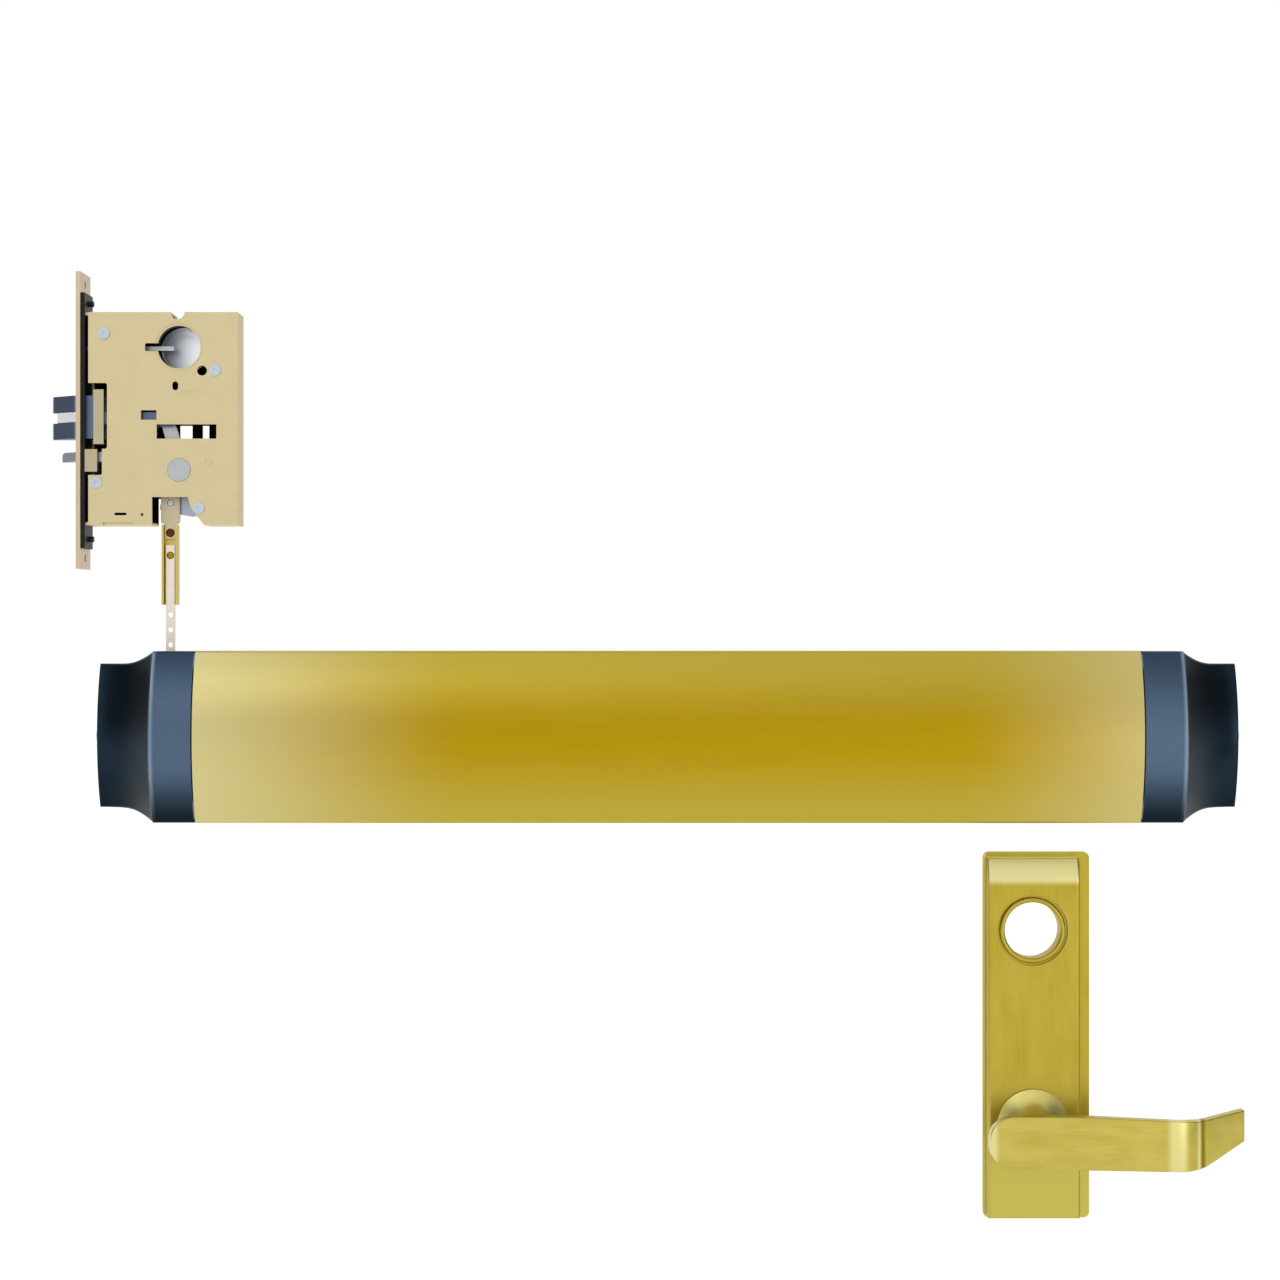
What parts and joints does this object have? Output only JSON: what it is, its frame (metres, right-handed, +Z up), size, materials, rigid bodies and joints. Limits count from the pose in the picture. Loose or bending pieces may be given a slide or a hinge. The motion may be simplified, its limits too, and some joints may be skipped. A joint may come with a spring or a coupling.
{
  "type": "panic exit bar",
  "caption": "Mortise exit device: a full-length push pad draws a link that retracts the latch of a mortise lock, with an outside lever trim.",
  "frame": {"origin": "centre of the bar's four fixing holes, in the plane of the door's inside face", "axes": "+X along the bar, +Y into the door, +Z up"},
  "size_m": [0.8111, 0.0882, 0.6436],
  "materials": {
    "satin_brass": "satin, brushed along its length",
    "cap_blue_black": "satin blue-black",
    "zinc_steel": "bright zinc",
    "dark_steel": "dark, as sintered",
    "case_dichromate": "yellow zinc passivate",
    "front_brass": "satin",
    "spring_steel": "drawn wire",
    "link_gold": "yellow zinc passivate",
    "trim_brass": "satin",
    "screw_zinc": "bright zinc"
  },
  "bodies": {
    "frame": {"housing": "zinc_steel", "housing_studs": "zinc_steel", "crank_brackets": "zinc_steel", "crank_pivot_pins": "zinc_steel", "rod_guides": "zinc_steel", "end_cap_left": "cap_blue_black", "end_cap_right": "cap_blue_black", "cap_brackets": "zinc_steel", "cap_screws": "screw_zinc", "armor_front": "front_brass", "inner_front": "case_dichromate", "front_screws": "screw_zinc", "lock_case": "case_dichromate", "lock_cover": "case_dichromate", "cover_posts": "zinc_steel", "cover_screws": "screw_zinc", "hub_post": "zinc_steel", "latch_guide": "zinc_steel", "guard_guide": "zinc_steel", "bolt_spring_seats": "zinc_steel", "cylinder_clamp": "zinc_steel", "cylinder_cup": "zinc_steel", "trim_plate": "trim_brass", "trim_collar": "trim_brass", "trim_bush": "trim_brass", "trim_stop_pins": "zinc_steel", "return_springs": "spring_steel", "latch_spring": "spring_steel", "guard_spring": "spring_steel", "trim_spring": "spring_steel"},
    "pad": {"push_pad": "satin_brass", "pad_carrier": "zinc_steel", "pad_screws": "screw_zinc", "pad_lugs": "zinc_steel", "lug_rivets": "zinc_steel"},
    "left_crank": {"crank_left": "zinc_steel", "crank_pins_left": "zinc_steel"},
    "right_crank": {"crank_right": "zinc_steel", "crank_pins_right": "zinc_steel"},
    "rod": {"tie_rod": "zinc_steel", "tie_rod_end": "zinc_steel", "tie_rod_rivets": "zinc_steel"},
    "lifter": {"lift_crank": "zinc_steel", "lift_crank_pins": "zinc_steel"},
    "link": {"link_strip": "zinc_steel", "link_channel": "link_gold", "link_tab": "case_dichromate", "link_rivets": "link_gold"},
    "lock_lever": {"lift_lever": "zinc_steel", "lift_lever_pins": "zinc_steel"},
    "retractor": {"retractor": "zinc_steel", "retractor_pin": "zinc_steel"},
    "latch": {"latch_bolt": "dark_steel"},
    "tongue": {"latch_tongue": "zinc_steel", "latch_tongue_pin": "zinc_steel"},
    "guard": {"guard_bolt": "zinc_steel"},
    "lever": {"trim_lever": "trim_brass", "trim_spindle": "zinc_steel", "trim_stop_arm": "zinc_steel", "trim_retaining_ring": "zinc_steel"}
  },
  "joints": [
    {"name": "pad_press", "type": "slide", "parent": "frame", "child": "pad", "axis": [0, 1, 0], "range_m": [0, 0.012], "stiffness_N_per_m": 2500, "springref_m": -0.012, "deforming": ["return_springs"]},
    {"name": "left_crank_turn", "type": "hinge", "parent": "frame", "child": "left_crank", "pos_m": [-0.2, 0.008, 0], "axis": [0, 0, 1], "range_deg": [0, 23.07]},
    {"name": "right_crank_turn", "type": "hinge", "parent": "frame", "child": "right_crank", "pos_m": [0.2, 0.008, 0], "axis": [0, 0, 1], "range_deg": [0, 23.07]},
    {"name": "rod_slide", "type": "slide", "parent": "frame", "child": "rod", "axis": [-1, 0, 0], "range_m": [0, 0.0072]},
    {"name": "lifter_turn", "type": "hinge", "parent": "frame", "child": "lifter", "pos_m": [-0.32, 0.02, -0.0135], "axis": [0, -1, 0], "range_deg": [0, 20.74]},
    {"name": "link_slide", "type": "slide", "parent": "frame", "child": "link", "axis": [0, 0, -1], "range_m": [0, 0.00792]},
    {"name": "lock_lever_turn", "type": "hinge", "parent": "frame", "child": "lock_lever", "pos_m": [-0.3205, 0.0257, 0.155], "axis": [0, -1, 0], "range_deg": [0, 21.23]},
    {"name": "retractor_turn", "type": "hinge", "parent": "frame", "child": "retractor", "pos_m": [-0.334, 0.0198, 0.181], "axis": [0, 1, 0], "range_deg": [0, 31.05]},
    {"name": "latch_slide", "type": "slide", "parent": "frame", "child": "latch", "axis": [1, 0, 0], "range_m": [0, 0.0196], "deforming": ["latch_spring"]},
    {"name": "tongue_swing", "type": "hinge", "parent": "latch", "child": "tongue", "pos_m": [-0.40335, 0.02675, 0.2176], "axis": [0, 0, -1], "range_deg": [0, 8], "stiffness_Nm_per_rad": 0.05, "springref_deg": -5.73},
    {"name": "guard_slide", "type": "slide", "parent": "frame", "child": "guard", "axis": [1, 0, 0], "range_m": [0, 0.012], "stiffness_N_per_m": 250, "springref_m": -0.006, "deforming": ["guard_spring"]},
    {"name": "lever_turn", "type": "hinge", "parent": "frame", "child": "lever", "pos_m": [0.246, -0.025, -0.262], "axis": [0, 1, 0], "range_deg": [0, 45], "stiffness_Nm_per_rad": 1.6, "springref_deg": -63.03, "deforming": ["trim_spring"]}
  ],
  "couplings": [
    {"joint": "left_crank_turn", "follows": "pad_press", "rad_per_m": 33.56},
    {"joint": "right_crank_turn", "follows": "pad_press", "rad_per_m": 33.56},
    {"joint": "rod_slide", "follows": "pad_press", "ratio": 0.6},
    {"joint": "lifter_turn", "follows": "pad_press", "rad_per_m": 30.164},
    {"joint": "link_slide", "follows": "pad_press", "ratio": 0.66},
    {"joint": "lock_lever_turn", "follows": "pad_press", "rad_per_m": 30.874},
    {"joint": "retractor_turn", "follows": "pad_press", "rad_per_m": 45.166},
    {"joint": "latch_slide", "follows": "pad_press", "ratio": 1.6329}
  ]
}
